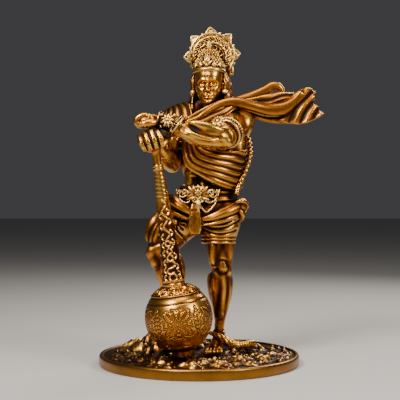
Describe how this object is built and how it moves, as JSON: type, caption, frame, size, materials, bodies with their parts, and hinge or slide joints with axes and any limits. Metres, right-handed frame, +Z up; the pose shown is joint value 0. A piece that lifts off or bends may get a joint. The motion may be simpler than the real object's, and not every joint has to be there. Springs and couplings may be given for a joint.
{
  "type": "hanuman figure",
  "caption": "Standing Hanuman figurine with crown and halo, hands resting on a ball-headed mace, scarf flying to one side, on a round rocky plinth.",
  "frame": {"origin": "middle of the plinth's flat underside", "axes": "+Z up, -Y the way the figure looks, towards the viewer, +X to the viewer's right, where the scarf flies"},
  "size_m": [0.2013, 0.1776, 0.3028],
  "materials": {
    "cast_figure": "antique gold on cast resin, semi-gloss, dark brown wash in the recesses",
    "mace": "antique gold on cast resin, semi-gloss, dark brown wash in the carving",
    "plinth": "antique gold on cast resin, dark brown wash between the rocks"
  },
  "bodies": {
    "root": {"figure": "cast_figure", "mace": "mace", "plinth": "plinth"}
  },
  "joints": []
}
